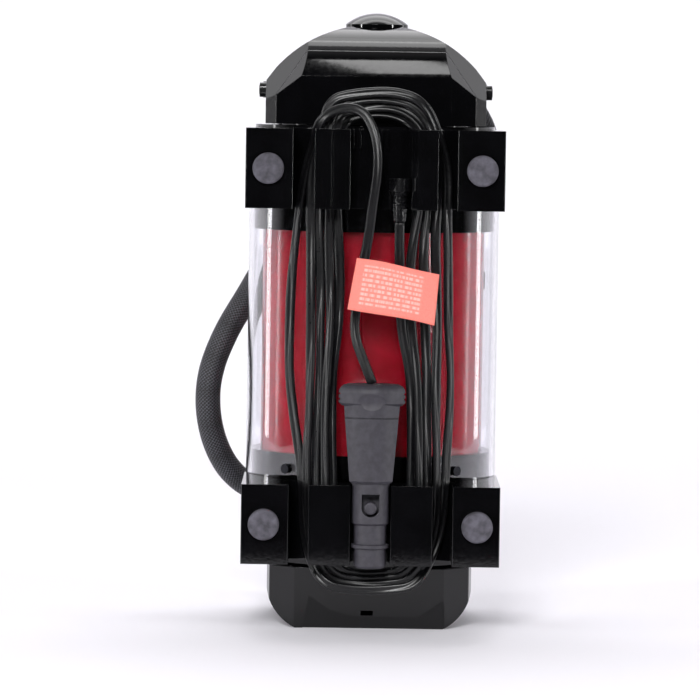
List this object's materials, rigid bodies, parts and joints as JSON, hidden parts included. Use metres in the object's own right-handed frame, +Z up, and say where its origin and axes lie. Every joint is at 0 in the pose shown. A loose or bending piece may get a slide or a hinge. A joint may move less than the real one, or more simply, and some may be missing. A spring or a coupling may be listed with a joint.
{
  "type": "air compressor",
  "caption": "Portable 12 V tyre inflator: clear-walled barrel over a red drum, black end caps, saddle brackets with feet, wound lead and plug, braided hose.",
  "frame": {"origin": "centre of the flat base of the lower cap", "axes": "+Z up the barrel, -Y towards the four rubber feet, +Y towards the gauge; in use it lies on its feet, -Y down"},
  "size_m": [0.1786, 0.2207, 0.3505],
  "materials": {
    "gloss_black": "moulded gloss black ABS",
    "satin_black": "fine textured black plastic",
    "clear_wall": "clear acrylic",
    "red_paint": "gloss red paint",
    "foot_rubber": "moulded rubber",
    "lead_pvc": "flexible PVC",
    "plug_plastic": "matte moulded plastic",
    "tag_paper": "coated paper",
    "hose_braid": "braided cover over rubber",
    "steel": "machined",
    "dark_steel": "blackened steel",
    "brass": "turned",
    "cast_alloy": "die cast",
    "chrome_trim": "plated",
    "dial_white": "printed",
    "needle_red": "painted",
    "nylon": "moulded nylon",
    "copper_wire": "wound copper",
    "board_green": "laminate board",
    "seal_rubber": "nitrile rubber",
    "magnet": "sintered ferrite"
  },
  "bodies": {
    "body": {"lower_cap_back": "gloss_black", "lower_cap_front": "gloss_black", "upper_cap_back": "gloss_black", "upper_cap_front": "gloss_black", "lower_collar": "gloss_black", "upper_collar": "gloss_black", "clear_barrel": "clear_wall", "red_drum": "red_paint", "lower_bulkhead": "satin_black", "upper_bulkhead": "satin_black", "lower_saddle": "gloss_black", "upper_saddle": "gloss_black", "chuck_body": "satin_black", "chuck_pin": "steel", "chuck_seal": "seal_rubber", "hose_clips": "satin_black", "chuck_clip": "satin_black", "gauge_case": "satin_black", "gauge_dial": "dial_white", "gauge_bezel": "chrome_trim", "gauge_lens": "clear_wall", "switch_frame": "satin_black", "handle_studs": "satin_black", "motor_can": "steel", "motor_end_bell": "nylon", "motor_magnets": "magnet", "motor_bushes": "brass", "pump_frame": "cast_alloy", "cylinder_head": "cast_alloy", "rubber_feet": "foot_rubber", "case_screws": "dark_steel", "cord_winding": "lead_pvc", "plug_lead": "lead_pvc", "cord_gland": "satin_black", "plug_body": "plug_plastic", "cord_tag": "tag_paper", "hose_outlet": "satin_black", "hose_ferrule": "dark_steel", "air_hose": "hose_braid", "front_fascia": "satin_black", "inner_pipe": "brass", "circuit_board": "board_green"},
    "rotor": {"rotor_shaft": "steel", "armature": "dark_steel", "commutator": "copper_wire", "cooling_fan": "nylon", "pinion": "steel"},
    "crank": {"crank_gear": "nylon"},
    "rod": {"connecting_rod": "cast_alloy"},
    "piston": {"piston": "cast_alloy", "piston_ring": "seal_rubber"},
    "handle": {"carry_handle": "satin_black", "handle_grip": "foot_rubber"},
    "rocker": {"power_rocker": "gloss_black"},
    "knob": {"top_knob": "gloss_black"},
    "needle": {"gauge_needle": "needle_red"},
    "lever": {"chuck_lever": "chrome_trim"},
    "tip": {"plug_tip_pin": "steel"},
    "outer_contact": {"plug_contact_outer": "plug_plastic"},
    "inner_contact": {"plug_contact_inner": "plug_plastic"}
  },
  "joints": [
    {"name": "rotor_spin", "type": "hinge", "parent": "body", "child": "rotor", "pos_m": [0, 0, 0.125], "axis": [0, 1, 0], "continuous": true},
    {"name": "crank_spin", "type": "hinge", "parent": "body", "child": "crank", "pos_m": [0, 0, 0.155], "axis": [0, 1, 0], "continuous": true},
    {"name": "rod_swing", "type": "hinge", "parent": "crank", "child": "rod", "pos_m": [0, 0, 0.15], "axis": [0, 1, 0], "continuous": true},
    {"name": "piston_stroke", "type": "slide", "parent": "body", "child": "piston", "axis": [0, 0, 1], "range_m": [0, 0.01]},
    {"name": "handle_fold", "type": "hinge", "parent": "body", "child": "handle", "pos_m": [0, 0.005, 0.3055], "axis": [1, 0, 0], "range_deg": [0, 92]},
    {"name": "power_switch", "type": "hinge", "parent": "body", "child": "rocker", "pos_m": [0, 0.087, 0.129], "axis": [1, 0, 0], "range_deg": [0, 16]},
    {"name": "knob_press", "type": "slide", "parent": "body", "child": "knob", "axis": [0, 0, -1], "range_m": [0, 0.0025], "stiffness_N_per_m": 900},
    {"name": "gauge_turn", "type": "hinge", "parent": "body", "child": "needle", "pos_m": [0, 0.0877, 0.178], "axis": [0, -1, 0], "range_deg": [0, 270], "stiffness_Nm_per_rad": 0.0004},
    {"name": "lever_lift", "type": "hinge", "parent": "body", "child": "lever", "pos_m": [-0.05765, 0.07726, 0.278], "axis": [0.8018, 0.5976, 0], "range_deg": [0, 75]},
    {"name": "tip_press", "type": "slide", "parent": "body", "child": "tip", "axis": [0, 0, 1], "range_m": [0, 0.003], "stiffness_N_per_m": 800},
    {"name": "outer_contact_press", "type": "slide", "parent": "body", "child": "outer_contact", "axis": [0, 1, 0], "range_m": [0, 0.0015], "stiffness_N_per_m": 500},
    {"name": "inner_contact_press", "type": "slide", "parent": "body", "child": "inner_contact", "axis": [0, -1, 0], "range_m": [0, 0.0015], "stiffness_N_per_m": 500}
  ],
  "couplings": [
    {"joint": "crank_spin", "follows": "rotor_spin", "ratio": -0.25},
    {"joint": "rod_swing", "follows": "rotor_spin", "ratio": 0.25}
  ]
}
